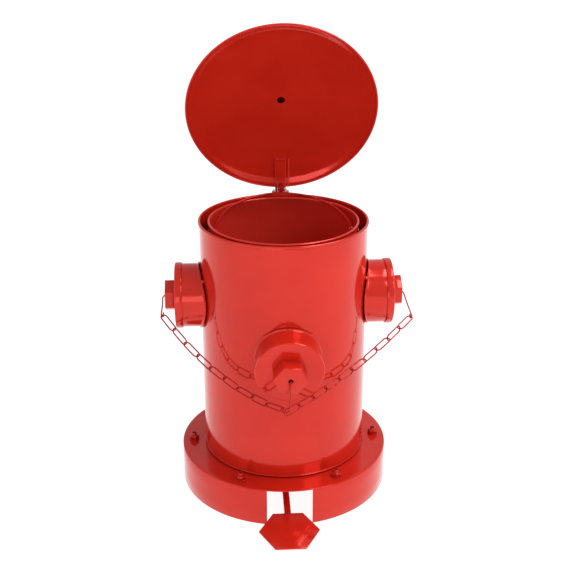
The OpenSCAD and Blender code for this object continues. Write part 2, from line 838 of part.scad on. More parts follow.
module ear_rivets() {
    face = sqrt(bucket_in * bucket_in - ear_plate_r * ear_plate_r) - ear_plate_t;
    inner = face - rivet_head_t;
    color(dark_red) for (s = [0, 180], y = [-rivet_at, rivet_at]) rotate([0, 0, s])
        translate([0, y, bail_z]) rotate([0, 90, 0]) {
            translate([0, 0, inner]) cylinder(r = rivet_r, h = bucket_r - inner + eps);
            translate([0, 0, inner]) cylinder(r = rivet_head_r, h = rivet_head_t);
            translate([0, 0, bucket_r]) cylinder(r = rivet_head_r, h = rivet_head_t);
        }
}

eye_t = 3.5;
module bail_handle() {
    color(red) translate([0, 0, bail_z]) rotate([bail_tilt, 0, 0]) difference() {
        union() {
            rotate_extrude(angle = 180) translate([bail_r, 0]) circle(r = bail_d / 2, $fn = 32);
            for (s = [-1, 1]) rod_x(eye_r, eye_t, s * bail_r);
        }
        rod_x(ear_pin_r + fit, 3 * bail_r);
    }
}

base_skirt();
base_plate();
base_bolts();
base_washers();
base_nuts();
floor_spacers();
floor_screws();
floor_nuts();
body_shell();
body_floor();
left_outlet();
right_outlet();
front_outlet();
left_cap();
right_cap();
front_cap();
left_nut();
right_nut();
front_nut();
outlet_welds();
left_hook();
right_hook();
front_hook();
left_chain();
right_chain();
hinge_bracket();
hinge_pin();
lid_dome();
lid_knob();
lid_strap();
lid_crank();
crank_pin();
push_rod();
rod_foot();
rod_guides();
lever_bracket();
lever_pin();
lever_arm();
lever_pad();
pedal_plate();
bucket_wall();
bucket_floor();
bucket_ears();
ear_rivets();
bail_handle();
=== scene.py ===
import bpy
import json
import math
import numpy as np
from mathutils import Matrix, Vector


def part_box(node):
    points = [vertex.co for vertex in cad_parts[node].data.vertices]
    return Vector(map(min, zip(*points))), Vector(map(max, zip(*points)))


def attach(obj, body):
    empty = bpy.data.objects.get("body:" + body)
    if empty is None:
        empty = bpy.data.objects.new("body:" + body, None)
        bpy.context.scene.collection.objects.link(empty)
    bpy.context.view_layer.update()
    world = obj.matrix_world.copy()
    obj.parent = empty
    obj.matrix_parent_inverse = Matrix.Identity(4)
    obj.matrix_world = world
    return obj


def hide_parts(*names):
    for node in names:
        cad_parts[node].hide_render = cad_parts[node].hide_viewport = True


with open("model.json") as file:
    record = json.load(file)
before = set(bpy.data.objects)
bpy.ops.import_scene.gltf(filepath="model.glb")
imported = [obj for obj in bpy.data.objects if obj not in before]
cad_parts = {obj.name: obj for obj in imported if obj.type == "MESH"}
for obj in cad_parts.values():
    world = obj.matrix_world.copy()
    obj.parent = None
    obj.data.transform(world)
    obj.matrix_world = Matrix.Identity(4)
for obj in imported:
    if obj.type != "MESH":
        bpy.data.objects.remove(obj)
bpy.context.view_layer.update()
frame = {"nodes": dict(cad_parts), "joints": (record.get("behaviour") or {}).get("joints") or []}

# ---- Studio ----
# A pale floor that glows a little, a sky that looks brighter to the camera than
# it lights, four soft lights and the camera, with the pedal to the front.
MM = 0.001
bin_middle = (0, 0, 0.3)
bpy.ops.object.select_all(action="DESELECT")
bpy.ops.mesh.primitive_plane_add(size=60)
floor = bpy.context.object
floor.name = "studio_floor"
floor_paint = bpy.data.materials.new("studio_floor")
floor_paint.use_nodes = True
floor_shader = floor_paint.node_tree.nodes["Principled BSDF"]
floor_grey, floor_glow = 0.25, 0.93
floor_shader.inputs["Base Color"].default_value = (floor_grey, floor_grey, floor_grey, 1)
floor_shader.inputs["Roughness"].default_value = 0.7
floor_shader.inputs["Emission Color"].default_value = (1, 1, 1, 1)
floor_shader.inputs["Emission Strength"].default_value = floor_glow
floor.data.materials.append(floor_paint)

sky = bpy.data.worlds.new("studio_sky")
bpy.context.scene.world = sky
sky.use_nodes = True
sky_lit, sky_seen = 0.6, 1.1
sky_tree = sky.node_tree
backdrop = sky_tree.nodes["Background"]
backdrop.inputs["Color"].default_value = (1, 1, 1, 1)
sight = sky_tree.nodes.new("ShaderNodeLightPath")
sky_strength = sky_tree.nodes.new("ShaderNodeMapRange")
sky_strength.inputs["To Min"].default_value = sky_lit
sky_strength.inputs["To Max"].default_value = sky_seen
sky_tree.links.new(sight.outputs["Is Camera Ray"], sky_strength.inputs["Value"])
sky_tree.links.new(sky_strength.outputs["Result"], backdrop.inputs["Strength"])


def soft_light(name, place, aim, width, height, power):
    """A rectangular light at a place, turned to face its aim; metres and watts."""
    bpy.ops.object.light_add(type="AREA", location=place)
    light = bpy.context.object
    light.name = name
    light.data.shape = "RECTANGLE"
    light.data.size = width
    light.data.size_y = height
    light.data.energy = power
    facing = Vector(aim) - Vector(place)
    light.rotation_euler = facing.to_track_quat("-Z", "Y").to_euler()


soft_light("key_light", (1.5, -1.9, 2.1), bin_middle, 1.1, 1.4, 23)
soft_light("fill_light", (-2.0, -1.2, 1.3), bin_middle, 0.9, 1.6, 3)
soft_light("top_light", (0.9, -0.1, 1.9), bin_middle, 0.9, 0.9, 18)
soft_light("low_light", (-0.75, -2.7, 0.62), (0, 0.15, 0.48), 1.3, 0.9, 7)

camera_place = (-0.0848, -1.4998, 0.9304)
looks_down, looks_right = 22.063, 3.5
bpy.ops.object.camera_add(location=camera_place)
camera = bpy.context.object
camera.rotation_euler = (math.radians(90 - looks_down), 0, math.radians(-looks_right))
camera.data.sensor_width = 36
camera.data.lens = 65.49
bpy.context.scene.camera = camera
bpy.context.scene.view_settings.view_transform = "Standard"


# ---- Base drum ----
# A skirt and a flat top plate of sheet steel, welded and then painted red.
# The skirt has a full-height notch at the front for the pedal, and stands on the floor.
def paint(name, colour, deep, dust=0.0, gloss=0.13, peel_depth=0.05, wave_depth=0.25, along=1.0,
          coat=0.3):
    """Glossy enamel: two close reds in soft clouds, orange peel, slow waves and fine dust."""
    material = bpy.data.materials.new(name)
    material.use_nodes = True
    tree = material.node_tree
    shader = tree.nodes["Principled BSDF"]
    where = tree.nodes.new("ShaderNodeTexCoord")
    stretch = tree.nodes.new("ShaderNodeMapping")
    stretch.inputs["Scale"].default_value = (1, 1, along)
    tree.links.new(where.outputs["Object"], stretch.inputs["Vector"])

    def noise(place, scale, detail, roughness=0.5):
        cloud = tree.nodes.new("ShaderNodeTexNoise")
        cloud.inputs["Scale"].default_value = scale
        cloud.inputs["Detail"].default_value = detail
        cloud.inputs["Roughness"].default_value = roughness
        tree.links.new(place, cloud.inputs["Vector"])
        return cloud.outputs["Fac"]

    def bump(height, strength, depth, under=None):
        relief = tree.nodes.new("ShaderNodeBump")
        relief.inputs["Strength"].default_value = strength
        relief.inputs["Distance"].default_value = depth * MM
        tree.links.new(height, relief.inputs["Height"])
        if under is not None:
            tree.links.new(under, relief.inputs["Normal"])
        return relief.outputs["Normal"]

    reds = tree.nodes.new("ShaderNodeValToRGB")
    reds.color_ramp.elements[0].position = 0.35
    reds.color_ramp.elements[0].color = (*deep, 1)
    reds.color_ramp.elements[1].position = 0.65
    reds.color_ramp.elements[1].color = (*colour, 1)
    tree.links.new(noise(where.outputs["Object"], 14, 3), reds.inputs["Fac"])
    tree.links.new(reds.outputs["Color"], shader.inputs["Base Color"])

    specks = noise(where.outputs["Object"], 420, 4, 0.65)
    rough = tree.nodes.new("ShaderNodeMapRange")
    rough.inputs["From Min"].default_value = 0.45
    rough.inputs["From Max"].default_value = 0.75
    rough.inputs["To Min"].default_value = gloss
    rough.inputs["To Max"].default_value = gloss + 0.05 + dust
    tree.links.new(specks, rough.inputs["Value"])
    tree.links.new(rough.outputs["Result"], shader.inputs["Roughness"])

    peel = bump(noise(where.outputs["Object"], 260, 2), peel_depth, 0.4)
    waves = bump(noise(stretch.outputs["Vector"], 16, 1), wave_depth, 1.6, under=peel)
    tree.links.new(waves, shader.inputs["Normal"])
    shader.inputs["Metallic"].default_value = 0.32
    shader.inputs["Coat Weight"].default_value = coat
    shader.inputs["Coat Roughness"].default_value = 0.03
    shader.inputs["Specular IOR Level"].default_value = 0.2
    return material


RED = (0.62, 0.022, 0.010)
DEEP_RED = (0.57, 0.018, 0.008)
drum_paint = paint("drum_paint", RED, DEEP_RED, dust=0.05)


def turned(name, outline, steps=192):
    """A sheet round the Z axis: a ring, pulled out along (radius, height) points in mm."""
    # A ring can't be scaled to nothing, so one that ends at the axis shrinks to
    # this radius and is then merged.
    least_r = 0.001
    bpy.ops.object.select_all(action="DESELECT")
    radius, height = outline[0]
    bpy.ops.mesh.primitive_circle_add(vertices=steps, radius=radius * MM, enter_editmode=True)
    bpy.ops.transform.translate(value=(0, 0, height * MM))
    for (next_radius, next_height) in outline[1:]:
        bpy.ops.mesh.extrude_region_move(
            TRANSFORM_OT_translate={"value": (0, 0, (next_height - height) * MM)})
        share = max(next_radius, least_r) / radius
        bpy.ops.transform.resize(value=(share, share, 1),
                                 center_override=(0, 0, next_height * MM))
        radius, height = next_radius, next_height
    if radius == 0:
        bpy.ops.mesh.merge(type="CENTER")
    bpy.ops.mesh.select_all(action="SELECT")
    bpy.ops.mesh.normals_make_consistent(inside=False)
    bpy.ops.object.mode_set(mode="OBJECT")
    piece = bpy.context.object
    piece.name = name
    return piece


def alone(piece):
    """Selects this piece and nothing else."""
    bpy.ops.object.select_all(action="DESELECT")
    piece.select_set(True)
    bpy.context.view_layer.objects.active = piece


def applied(piece, kind, **settings):
    """Gives the piece a modifier and applies it at once."""
    alone(piece)
    modifier = piece.modifiers.new(kind.lower(), kind)
    for key, value in settings.items():
        setattr(modifier, key, value)
    bpy.ops.object.modifier_apply(modifier=modifier.name)


def sheet_metal(piece, thickness, edge=0.25):
    """Gives the sheet its thickness, half to each side, and rounds its cut edges."""
    applied(piece, "SOLIDIFY", thickness=thickness * MM, offset=0, use_even_offset=True)
    applied(piece, "BEVEL", width=edge * MM, segments=2, limit_method="ANGLE",
            angle_limit=math.radians(50))


def finished(piece, material, body, slot, *nodes, smooth=38):
    """Paints the piece, shades it, and lets it ride on its body in place of the plain CAD nodes."""
    alone(piece)
    bpy.ops.object.transform_apply(location=True, rotation=True, scale=True)
    bpy.ops.object.shade_smooth_by_angle(angle=math.radians(smooth))
    piece.data.materials.clear()
    piece.data.materials.append(material)
    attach(piece, body)
    if nodes:
        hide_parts(*nodes)
    return piece


def joined(first, *others):
    """Makes one object of several, which keeps the first one's name."""
    alone(first)
    for other in others:
        other.select_set(True)
    bpy.ops.object.join()
    return first


def cut(piece, tool, how="DIFFERENCE"):
    """Takes the tool's shape out of the piece, or keeps only what both share."""
    applied(piece, "BOOLEAN", operation=how, object=tool, solver="EXACT")
    bpy.data.objects.remove(tool)


base_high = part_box("base_plate")[1]
base_r = base_high.x / MM
base_top = base_high.z / MM
base_sheet = 1.5
notch = 69
plate_hole_r = 20


def notch_block():
    """The empty space of the pedal's notch, taller and deeper than the skirt."""
    bpy.ops.mesh.primitive_cube_add(size=1, location=(0, -base_r * MM, 0.03),
                                    scale=(notch * MM, 0.08, 0.1))
    return bpy.context.object


skirt_r = base_r - base_sheet / 2
plate_bottom = base_top - base_sheet
skirt = turned("drum_skirt", [(skirt_r, height) for height in (0, 20, 40, plate_bottom)], steps=256)
sheet_metal(skirt, base_sheet, 0.2)
cut(skirt, notch_block())
applied(skirt, "BEVEL", width=0.3 * MM, segments=2, limit_method="ANGLE",
        angle_limit=math.radians(60))
finished(skirt, drum_paint, "base", "red_paint", "base_skirt")

# The plate goes up over its rounded outer edge, in to the middle hole, and
# back under itself to where it began.
plate_outline = [(base_r - 0.3, plate_bottom), (base_r, base_top - 1.1), (base_r, base_top - 1.0),
                 (base_r - 0.15, base_top - 0.6), (base_r - 0.5, base_top - 0.15)]
plate_outline += [(r, base_top)
                  for r in (base_r - 1, base_r - 6, base_r - 18, 128, 60, plate_hole_r)]
plate_outline += [(r, plate_bottom) for r in (plate_hole_r, 60, 128, base_r - 0.3)]
plate = turned("drum_plate", plate_outline, steps=256)
alone(plate)
bpy.ops.object.mode_set(mode="EDIT")
bpy.ops.mesh.select_all(action="SELECT")
bpy.ops.mesh.remove_doubles(threshold=0.00001)
bpy.ops.mesh.normals_make_consistent(inside=False)
bpy.ops.object.mode_set(mode="OBJECT")
finished(plate, drum_paint, "base", "red_paint", "base_plate", smooth=30)

# A bead of weld runs round under the plate where the skirt meets it.
# It is rippled a little, as a hand-laid bead is, and lies inside the drum.
weld_inset = 0.6
weld_r = 1.6
weld_ripples = 150
ripple_share = 0.0016
bpy.ops.object.select_all(action="DESELECT")
bpy.ops.mesh.primitive_torus_add(major_radius=(base_r - base_sheet - weld_inset) * MM,
                                 minor_radius=weld_r * MM,
                                 major_segments=360, minor_segments=10,
                                 location=(0, 0, (plate_bottom - weld_inset) * MM))
drum_weld = bpy.context.object
drum_weld.name = "drum_weld"
for vertex in drum_weld.data.vertices:
    turn = math.atan2(vertex.co.y, vertex.co.x)
    vertex.co *= 1 + ripple_share * math.sin(turn * weld_ripples)
cut(drum_weld, notch_block())
finished(drum_weld, drum_paint, "base", "red_paint")

# ---- Flange bolts ----
# Six M8 bolts come up through the plate's rim, each with a washer and a hexagonal nut.
# They are painted over with the drum, so the thread ends are only soft rings.
# This red is darker than the drum's though it is the same paint: painted shade on the bolts, hinge
# pin and push rod.
bolt_paint_painted_shade = paint("bolt_paint_painted_shade", (0.50, 0.014, 0.008), (0.38, 0.009, 0.005),
                   gloss=0.08, peel_depth=1.0)
bolt_ring = 146
bolt_count = 6
nut_across = 15
nut_twist = 0.35
washer_r = 8.0
washer_hole_r = 4.3
washer_top = 61.6
thread_r, thread_root_r = 4.0, 3.7
nut_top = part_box("base_nuts")[1].z / MM
stud_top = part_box("base_bolts")[1].z / MM


def hexagon(name, across_corners, low, high):
    """A nut blank: six sides, with the corners turned off at both ends."""
    corner_r = across_corners / 2
    chamfer_in, chamfer_up = 1.26, 0.63
    bpy.ops.object.select_all(action="DESELECT")
    bpy.ops.mesh.primitive_cylinder_add(vertices=6, radius=corner_r * MM,
                                        depth=(high - low) * MM,
                                        location=(0, 0, (high + low) / 2 * MM))
    blank = bpy.context.object
    blank.name = name
    bpy.ops.object.transform_apply(location=True)
    round_off = turned("round_off", [
        (corner_r - chamfer_in, low - 0.01), (corner_r + 0.2, low + chamfer_up),
        (corner_r + 0.2, high - chamfer_up), (corner_r - chamfer_in, high + 0.01)], steps=96)
    alone(round_off)
    bpy.ops.object.mode_set(mode="EDIT")
    bpy.ops.mesh.select_all(action="SELECT")
    bpy.ops.mesh.select_non_manifold(extend=False)
    bpy.ops.mesh.edge_face_add()
    bpy.ops.mesh.select_all(action="SELECT")
    bpy.ops.mesh.normals_make_consistent(inside=False)
    bpy.ops.object.mode_set(mode="OBJECT")
    cut(blank, round_off, "INTERSECT")
    applied(blank, "BEVEL", width=0.25 * MM, segments=2, limit_method="ANGLE",
            angle_limit=math.radians(25))
    return blank


def moved(piece, x, y, turn):
    """A copy of the piece with its own mesh, turned about Z and then moved."""
    copy = piece.copy()
    copy.data = piece.data.copy()
    bpy.context.scene.collection.objects.link(copy)
    copy.data.transform(Matrix.Translation((x, y, 0)) @ Matrix.Rotation(turn, 4, "Z"))
    return copy


nut = hexagon("flange_nut", nut_across, washer_top, nut_top)
washer = turned("washer", [
    (washer_hole_r, base_top + 0.05), (washer_hole_r, washer_top - 0.2),
    (washer_hole_r + 0.3, washer_top), (washer_r - 0.4, washer_top),
    (washer_r, washer_top - 0.35), (washer_r, base_top + 0.05)], 64)
stud_outline = [(thread_r, nut_top - 1)]
for ridge in range(3):
    stud_outline += [(thread_r, nut_top + 0.2 + ridge), (thread_root_r, nut_top + 0.7 + ridge)]
stud_outline += [(3.6, stud_top - 0.3), (3.0, stud_top), (1.5, stud_top), (0, stud_top)]
stud = turned("stud", stud_outline, 48)
fastener = joined(nut, washer, stud)
sets = []
for place in range(bolt_count):
    around = math.radians(30 + 360 / bolt_count * place)
    sets.append(moved(fastener, bolt_ring * MM * math.sin(around),
                      -bolt_ring * MM * math.cos(around), nut_twist * place * place))
bpy.data.objects.remove(fastener)
flange_nuts = joined(*sets)
flange_nuts.name = "flange_nuts"
finished(flange_nuts, bolt_paint_painted_shade, "base", "red_paint", "base_nuts", "base_washers")


# The bolts' heads sit under the plate. Their CAD shapes are right, so copies of
# them get rounded edges and the same paint, as do the other small hidden parts.
def smoothed(node, material, body, slot, edge=0.3, smooth=35):
    """A copy of a CAD node, merged, with its edges rounded over."""
    piece = frame["nodes"][node].copy()
    piece.data = piece.data.copy()
    for key in list(piece.keys()):
        del piece[key]
    piece.parent = None
    bpy.context.scene.collection.objects.link(piece)
    piece.name = node + "_piece"
    piece.hide_render = piece.hide_viewport = False
    alone(piece)
    bpy.ops.object.mode_set(mode="EDIT")
    bpy.ops.mesh.select_all(action="SELECT")
    bpy.ops.mesh.remove_doubles(threshold=0.000005)
    bpy.ops.mesh.dissolve_limited(angle_limit=math.radians(0.5))
    bpy.ops.object.mode_set(mode="OBJECT")
    if edge:
        applied(piece, "BEVEL", width=edge * MM, segments=2, limit_method="ANGLE",
                angle_limit=math.radians(30), use_clamp_overlap=True)
    return finished(piece, material, body, slot, node, smooth=smooth)


smoothed("base_bolts", bolt_paint_painted_shade, "base", "red_paint")

# ---- Body floor and its fixings ----
# A flanged disc closes the body from below. It stands on four spacers and is
# held to the base plate by four plain steel screws with nuts.
# This red is lighter than the outer red though it is the same paint: painted light inside the body,
# on its floor and in the bucket.
inner_paint_painted_light = paint("inner_paint_painted_light", (0.66, 0.036, 0.022), (0.60, 0.030, 0.018), dust=0.04)


def steel(name, colour):
    """Bare steel with a few duller patches."""
    material = bpy.data.materials.new(name)
    material.use_nodes = True
    tree = material.node_tree
    shader = tree.nodes["Principled BSDF"]
    shader.inputs["Metallic"].default_value = 1.0
    where = tree.nodes.new("ShaderNodeTexCoord")
    patches = tree.nodes.new("ShaderNodeTexNoise")
    patches.inputs["Scale"].default_value = 160
    patches.inputs["Detail"].default_value = 4
    tree.links.new(where.outputs["Object"], patches.inputs["Vector"])
    tint = tree.nodes.new("ShaderNodeValToRGB")
    tint.color_ramp.elements[0].color = (*[c * 0.7 for c in colour], 1)
    tint.color_ramp.elements[1].color = (*colour, 1)
    tree.links.new(patches.outputs["Fac"], tint.inputs["Fac"])
    tree.links.new(tint.outputs["Color"], shader.inputs["Base Color"])
    rough = tree.nodes.new("ShaderNodeMapRange")
    rough.inputs["To Min"].default_value = 0.22
    rough.inputs["To Max"].default_value = 0.47
    tree.links.new(patches.outputs["Fac"], rough.inputs["Value"])
    tree.links.new(rough.outputs["Result"], shader.inputs["Roughness"])
    return material


plain_steel = steel("plain_steel", (0.55, 0.55, 0.56))
smoothed("floor_spacers", inner_paint_painted_light, "base", "red_paint")
smoothed("floor_screws", plain_steel, "base", "plain_steel")
smoothed("floor_nuts", plain_steel, "base", "plain_steel")
smoothed("body_floor", inner_paint_painted_light, "base", "red_paint")

# ---- Body shell ----
# One rolled sheet with a welded seam down the back. Its top edge is rolled
# outwards into a bead, and its foot is hemmed and stands just clear of the drum.
shell_paint = paint("shell_paint", RED, DEEP_RED, wave_depth=0.6, along=0.05)
shell_low, shell_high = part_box("body_shell")
shell_sheet = 1.2
hem_bottom = shell_low.z / MM
rim_top = shell_high.z / MM
bead_r = 2.0
shell_r = shell_high.x / MM - bead_r
bead_middle = rim_top - bead_r
hem_r = 1.6
wall_r = shell_r - shell_sheet / 2
roll_r = bead_r - shell_sheet / 2


def rolled_rim(middle_r, middle_z, roll):
    """Points of a rim rolled outwards: up the inside, over the top and down the outside."""
    return [(middle_r + roll * math.cos(math.radians(a)),
             middle_z + roll * math.sin(math.radians(a))) for a in range(180, -100, -20)]


shell_outline = [(wall_r + hem_r * math.sin(math.radians(a)) * 0.6,
                  hem_bottom + hem_r - (hem_r - shell_sheet / 2) * math.cos(math.radians(a)))
                 for a in (150, 110, 70, 35, 0)]
shell_outline += [(wall_r, hem_bottom + 3 + step)
                  for step in (0, 1, 4, 30, 90, 150, 210, 270, 320, 350)]
shell_outline += [(wall_r, bead_middle - 5), (wall_r, bead_middle - 2.5)]
shell_outline += rolled_rim(shell_r, bead_middle, roll_r)
shell = turned("body_shell_sheet", shell_outline, steps=360)
sheet_metal(shell, shell_sheet, 0.15)
finished(shell, shell_paint, "base", "red_paint", "body_shell")


# The seam down the back of the shell is one ripply run of weld, ground a
# little flat, from just above the hem to just under the bead.
def weld_run(name, low, high, width):
    """A ripply run of weld up the Z axis, flattened along Y."""
    middle = (0, 0, (high + low) / 2 * MM)
    flatness, ripple_depth, ripples_per_mm = 0.6, 0.12, 1.6
    bpy.ops.object.select_all(action="DESELECT")
    bpy.ops.mesh.primitive_cylinder_add(vertices=12, radius=width / 2 * MM, location=middle,
                                        depth=(high - low) * MM, enter_editmode=True)
    bpy.ops.mesh.bisect(plane_co=middle, plane_no=(0, 0, 1))
    bpy.ops.mesh.select_all(action="SELECT")
    bpy.ops.mesh.subdivide(number_cuts=7)
    bpy.ops.object.mode_set(mode="OBJECT")
    run = bpy.context.object
    run.name = name
    applied(run, "SUBSURF", levels=2, render_levels=2, subdivision_type="SIMPLE")
    for vertex in run.data.vertices:
        ripple = 1 + ripple_depth * math.sin(vertex.co.z / MM * ripples_per_mm)
        vertex.co.x *= ripple
        vertex.co.y *= flatness * ripple
    run.data.transform(Matrix.Translation(middle))
    run.location = (0, 0, 0)
    return run


seam_turn = math.radians(200)
seam = weld_run("shell_seam", hem_bottom + 8, rim_top - 9, 3.2)
seam.data.transform(Matrix.Rotation(seam_turn, 4, "Z")
                    @ Matrix.Translation((0, -(shell_r + 0.1) * MM, 0)))
finished(seam, shell_paint, "base", "red_paint")

# ---- Outlets ----
# Three short tubes. Each has a saddle-shaped lip that follows the body a few
# millimetres off it, a pressed cap over its end and a hollow nut on the cap.
outlet_paint = paint("outlet_paint", RED, DEEP_RED)
tube_r = 49.0
tube_sheet = 1.5
tube_start = 147.5
lip_start = 150
lip_gap = 2.5
cap_skirt = 11
cap_r = tube_r + tube_sheet + 0.5
cap_middle_r = cap_r - tube_sheet / 2
cap_bend = 1.6
lip_middle = shell_r + lip_gap + tube_sheet / 2
side_z = (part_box("left_nut")[0].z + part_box("left_nut")[1].z) / 2
side_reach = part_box("right_cap")[1].x / MM
front_reach = 160
front_z = 0.282
front_droop = 10
OUTLETS = {"left": (-90, side_z, 0, side_reach), "right": (90, side_z, 0, side_reach),
           "front": (0, front_z, front_droop, front_reach)}


def at_outlet(piece, side):
    """Lays a piece drawn up the Z axis along an outlet's own axis."""
    turn, height, droop, reach = OUTLETS[side]
    piece.matrix_world = (Matrix.Translation((0, 0, height))
                          @ Matrix.Rotation(math.radians(turn), 4, "Z")
                          @ Matrix.Rotation(math.radians(90 + droop), 4, "X"))
    bpy.context.view_layer.update()


def islands(node):
    """The vertices of each solid of a CAD node, as arrays of places in metres."""
    source = frame["nodes"][node].data
    places = np.array([v.co for v in source.vertices])
    keys = {}
    joined_to = [keys.setdefault(tuple(np.round(p, 6)), i) for i, p in enumerate(places)]
    parent = list(range(len(places)))

    def root(i):
        while parent[i] != i:
            parent[i] = parent[parent[i]]
            i = parent[i]
        return i

    for polygon in source.polygons:
        first = root(joined_to[polygon.vertices[0]])
        for i in polygon.vertices:
            parent[root(joined_to[i])] = first
    groups = {}
    for i in range(len(places)):
        groups.setdefault(root(joined_to[i]), []).append(i)
    return [places[group] for group in groups.values()]


# The lip's rings start flat and are each laid against a round former of its
# own size. Each pair is a ring's radius and its rise off the lip's middle.
middle_r = tube_r - tube_sheet / 2
flare = [(middle_r + 3.1, 0), (middle_r + 2.2, 0), (middle_r + 1.2, 0.15), (middle_r + 0.5, 0.7),
         (middle_r + 0.1, 1.6), (middle_r, 2.8)]
for side in OUTLETS:
    reach = OUTLETS[side][3]
    outline = [(r, lip_start) for r, rise in flare]
    outline += [(middle_r, tube_start), (middle_r, reach - 1.9)]
    tube = turned(side + "_outlet_tube", outline)
    ring = len(tube.data.vertices) // len(outline)
    at_outlet(tube, side)
    for level, (r, rise) in enumerate(flare):
        group = tube.vertex_groups.new(name="flare_%d" % level)
        group.add(list(range(level * ring, (level + 1) * ring)), 1.0, "REPLACE")
        bpy.ops.object.select_all(action="DESELECT")
        bpy.ops.mesh.primitive_cylinder_add(vertices=720, radius=(lip_middle + rise) * MM,
                                            depth=0.9, location=(0, 0, 0.3))
        former = bpy.context.object
        applied(tube, "SHRINKWRAP", target=former, wrap_method="PROJECT", use_project_z=True,
                use_positive_direction=False, use_negative_direction=True, vertex_group=group.name)
        bpy.data.objects.remove(former)
    sheet_metal(tube, tube_sheet, 0.25)
    finished(tube, outlet_paint, "base", "red_paint", side + "_outlet")

    cap_outline = [(cap_middle_r - 0.2, reach - cap_skirt), (cap_middle_r, reach - 8),
                   (cap_middle_r, reach - 5)]
    cap_outline += [(cap_middle_r - cap_bend * (1 - math.cos(math.radians(a))),
                     reach - tube_sheet / 2 - cap_bend * (1 - math.sin(math.radians(a))))
                    for a in range(0, 91, 15)]
    cap_outline += [(r, reach - tube_sheet / 2) for r in (47, 40, 30, 18, 8, 0)]
    cap = turned(side + "_cap_pressing", cap_outline)
    sheet_metal(cap, tube_sheet - 0.2, 0.2)
    at_outlet(cap, side)
    finished(cap, outlet_paint, "base", "red_paint", side + "_cap", smooth=30)
    smoothed(side + "_nut", outlet_paint, "base", "red_paint", edge=0.5)

# Four small lumps of weld bridge the gap under each lip. They were laid by
# hand, so each is a slightly different blob.
lump_r = 2.9
lump_swell = 0.13
lumps = []
for number, spot in enumerate(islands("outlet_welds")):
    middle = (spot.min(0) + spot.max(0)) / 2
    bpy.ops.object.select_all(action="DESELECT")
    bpy.ops.mesh.primitive_ico_sphere_add(subdivisions=3, radius=lump_r * MM)
    lump = bpy.context.object
    for vertex in lump.data.vertices:
        waves = math.sin(vertex.co.x * 2100 + number) * math.cos(vertex.co.z * 1900 - number)
        vertex.co *= 1 + lump_swell * waves
    lump.data.transform(Matrix.Translation(Vector(middle)))
    lumps.append(lump)
lump_set = joined(*lumps)
lump_set.name = "outlet_weld_lumps"
finished(lump_set, outlet_paint, "base", "red_paint", "outlet_welds", smooth=60)

# ---- Hooks and chain ----
# Bent wire hooks come out of the nuts and carry two swags of welded chain.
# Each link is a bent wire loop with a small weld on one side, painted over.
# The wire's red is darker than the body's though it is the same paint: painted shade on the hooks,
# chain links and bail.
wire_paint_painted_shade = paint("wire_paint_painted_shade", (0.47, 0.012, 0.007), (0.37, 0.009, 0.005), gloss=0.1, coat=0.08)
for side in ("left", "right", "front"):
    smoothed(side + "_hook", wire_paint_painted_shade, "base", "painted_wire", edge=0, smooth=70)

wire_r = 1.12
link_width = 13.4
link_ends = link_width / 2 - wire_r
link_steps = 28


def chain_link(length):
    """A link of that length in mm, along X in the XY plane, with its weld on one side."""
    bpy.ops.object.select_all(action="DESELECT")
    bpy.ops.mesh.primitive_torus_add(major_radius=link_ends * MM, minor_radius=wire_r * MM,
                                     major_segments=link_steps, minor_segments=14,
                                     rotation=(0, 0, math.pi / link_steps))
    link = bpy.context.object
    bpy.ops.object.transform_apply(rotation=True)
    stretch = (length / 2 - wire_r - link_ends) * MM
    for vertex in link.data.vertices:
        vertex.co.x += math.copysign(stretch, vertex.co.x)
    bpy.ops.mesh.primitive_torus_add(major_radius=wire_r * 0.82 * MM, minor_radius=0.42 * MM,
                                     major_segments=16, minor_segments=8,
                                     location=(0, -link_ends * MM, 0), rotation=(0, math.pi / 2, 0))
    weld = bpy.context.object
    bpy.ops.object.transform_apply(location=True, rotation=True)
    return joined(link, weld)


# Each link takes its place and length from its CAD link: its long way, its
# wide way, and the middle of its extent along each.
for side in ("left", "right"):
    links = []
    for loop in islands(side + "_chain"):
        middle = loop.mean(0)
        from_middle = loop - middle
        axes = np.linalg.eigh(np.cov(from_middle.T))[1]
        along, across = axes[:, 2], axes[:, 1]
        own_axes = (along, across, np.cross(along, across))
        for axis in own_axes:
            reached = from_middle @ axis
            middle = middle + axis * (reached.max() + reached.min()) / 2
        link = chain_link(np.ptp(from_middle @ along) / MM)
        place = Matrix.Identity(4)
        for column, direction in enumerate((*own_axes, middle)):
            for row in range(3):
                place[row][column] = direction[row]
        link.data.transform(place)
        links.append(link)
    swag = joined(*links)
    swag.name = side + "_chain_links"
    finished(swag, wire_paint_painted_shade, "chain_" + side, "painted_wire", side + "_chain", smooth=60)

# ---- Lid hinge ----
# Two cheeks are welded to the back of the shell, and a headed pin goes
# through them and through the knuckle at the end of the lid's strap.
smoothed("hinge_bracket", shell_paint, "base", "red_paint", edge=0.5)
smoothed("hinge_pin", bolt_paint_painted_shade, "base", "red_paint")

# ---- Lid ----
# A shallow dome pressed from sheet with a rolled edge and a small hole in the
# middle. A strap welded under its back part carries it on the hinge.
lid_paint = paint("lid_paint", RED, DEEP_RED)
lid_joint = next(joint for joint in frame["joints"] if joint["name"] == "lid_hinge")
hinge = lid_joint["pos_m"]
lid_open = 68.6
lid_r = 150.0
dome_h = 28.0
lid_edge_r = 1.5
lid_edge_ring = lid_r - lid_edge_r
lid_hole_r = 6.0
lid_sheet = 1.2
knob_seat_r = 50
shoulder_r = 134.0
shoulder_h = 2.7
opened = (Matrix.Translation(hinge) @ Matrix.Rotation(math.radians(-lid_open), 4, "X")
          @ Matrix.Translation((0, -hinge[1], -hinge[2])))
shut = opened.inverted()
lid_low = min((shut @ v.co).z for v in frame["nodes"]["lid_dome"].data.vertices) / MM
edge_middle = lid_low + lid_edge_r
dome_r = (lid_r ** 2 + dome_h ** 2) / (2 * dome_h)


